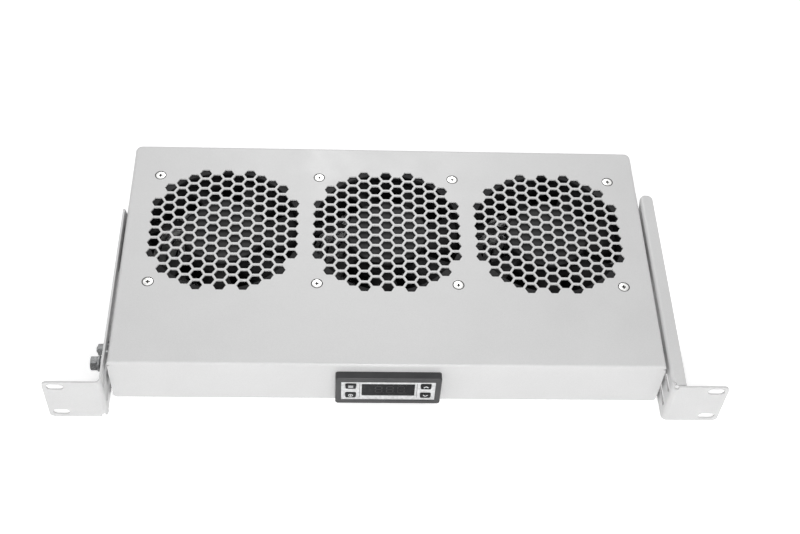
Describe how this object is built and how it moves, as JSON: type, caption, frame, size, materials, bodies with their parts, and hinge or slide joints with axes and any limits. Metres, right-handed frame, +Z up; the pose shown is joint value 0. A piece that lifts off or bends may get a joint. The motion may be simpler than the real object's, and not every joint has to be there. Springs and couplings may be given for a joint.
{
  "type": "rack fan tray",
  "caption": "One-unit rack fan tray: folded steel tray with axial fans under honeycomb grilles, panel thermostat, power inlet and slotted brackets.",
  "frame": {"origin": "centre of the four ear slots, on the face of the ears that bears on the rack posts", "axes": "+X to the right seen from the front, +Y back into the rack, +Z up"},
  "size_m": [0.4826, 0.2286, 0.0436],
  "materials": {
    "tray_paint": "satin powder coat",
    "zinc_steel": "bright zinc plate",
    "bright_screw": "nickel plate",
    "terminal_screw": "zinc plate",
    "fan_casting": "black paint",
    "fan_plastic": "moulded black",
    "ground_steel": "ground",
    "motor_iron": "stacked laminations",
    "copper_winding": "enamelled copper",
    "guard_wire": "bright plate",
    "black_moulding": "fine texture",
    "silver_face": "satin silver",
    "display_window": "smoked window",
    "button_grey": "fine texture",
    "switch_body": "moulded black",
    "circuit_board": "lacquered laminate",
    "relay_blue": "moulded",
    "terminal_green": "moulded",
    "clip_orange": "moulded",
    "inlet_brass": "nickelled",
    "strip_white": "moulded nylon",
    "lead_pvc": "extruded sheath",
    "fan_sheath": "extruded sheath",
    "probe_steel": "stainless"
  },
  "bodies": {
    "tray": {"bearings_left": "ground_steel", "bearings_middle": "ground_steel", "bearings_right": "ground_steel", "bracket_bolts": "zinc_steel", "bracket_nuts": "zinc_steel", "bracket_spacers": "zinc_steel", "bracket_washers": "zinc_steel", "earth_bolt": "zinc_steel", "earth_nuts": "zinc_steel", "earth_washers": "zinc_steel", "fan_frame_left": "fan_casting", "fan_frame_middle": "fan_casting", "fan_frame_right": "fan_casting", "fan_leads": "fan_sheath", "fan_nuts": "zinc_steel", "fan_screws": "bright_screw", "finger_guard_left": "guard_wire", "finger_guard_middle": "guard_wire", "finger_guard_right": "guard_wire", "guard_screws": "zinc_steel", "inlet_body": "black_moulding", "inlet_leads": "lead_pvc", "inlet_nuts": "zinc_steel", "inlet_pins": "inlet_brass", "inlet_screws": "zinc_steel", "motor_coils_left": "copper_winding", "motor_coils_middle": "copper_winding", "motor_coils_right": "copper_winding", "motor_core_left": "motor_iron", "motor_core_middle": "motor_iron", "motor_core_right": "motor_iron", "probe_clip": "strip_white", "temperature_probe": "probe_steel", "terminal_strip": "strip_white", "terminal_strip_screws": "terminal_screw", "thermostat_bezel": "black_moulding", "thermostat_board": "circuit_board", "thermostat_case": "black_moulding", "thermostat_clips": "clip_orange", "thermostat_display": "display_window", "thermostat_face": "silver_face", "thermostat_leads": "lead_pvc", "thermostat_power_board": "circuit_board", "thermostat_relay": "relay_blue", "thermostat_switches": "switch_body", "thermostat_terminal_screws": "terminal_screw", "thermostat_terminals": "terminal_green", "tray_shell": "tray_paint"},
    "rotor_left": {"impeller_left": "fan_plastic", "rotor_shaft_left": "ground_steel"},
    "rotor_middle": {"impeller_middle": "fan_plastic", "rotor_shaft_middle": "ground_steel"},
    "rotor_right": {"impeller_right": "fan_plastic", "rotor_shaft_right": "ground_steel"},
    "key_upper_left": {"button_upper_left": "button_grey"},
    "key_lower_left": {"button_lower_left": "button_grey"},
    "key_upper_right": {"button_upper_right": "button_grey"},
    "key_lower_right": {"button_lower_right": "button_grey"},
    "rack_bracket_left": {"bracket_left": "tray_paint"},
    "rack_bracket_right": {"bracket_right": "tray_paint"}
  },
  "joints": [
    {"name": "fan_spin_left", "type": "hinge", "parent": "tray", "child": "rotor_left", "pos_m": [-0.124, 0.1399, 0], "axis": [0, 0, 1], "continuous": true},
    {"name": "fan_spin_middle", "type": "hinge", "parent": "tray", "child": "rotor_middle", "pos_m": [0, 0.1399, 0], "axis": [0, 0, 1], "continuous": true},
    {"name": "fan_spin_right", "type": "hinge", "parent": "tray", "child": "rotor_right", "pos_m": [0.124, 0.1399, 0], "axis": [0, 0, 1], "continuous": true},
    {"name": "press_upper_left", "type": "slide", "parent": "tray", "child": "key_upper_left", "axis": [0, 1, 0], "range_m": [0, 0.0005], "stiffness_N_per_m": 1500, "springref_m": -0.0004},
    {"name": "press_lower_left", "type": "slide", "parent": "tray", "child": "key_lower_left", "axis": [0, 1, 0], "range_m": [0, 0.0005], "stiffness_N_per_m": 1500, "springref_m": -0.0004},
    {"name": "press_upper_right", "type": "slide", "parent": "tray", "child": "key_upper_right", "axis": [0, 1, 0], "range_m": [0, 0.0005], "stiffness_N_per_m": 1500, "springref_m": -0.0004},
    {"name": "press_lower_right", "type": "slide", "parent": "tray", "child": "key_lower_right", "axis": [0, 1, 0], "range_m": [0, 0.0005], "stiffness_N_per_m": 1500, "springref_m": -0.0004},
    {"name": "bracket_shift_left", "type": "slide", "parent": "tray", "child": "rack_bracket_left", "axis": [0, 1, 0], "range_m": [-0.06, 0.025]},
    {"name": "bracket_shift_right", "type": "slide", "parent": "tray", "child": "rack_bracket_right", "axis": [0, 1, 0], "range_m": [-0.06, 0.025]}
  ]
}
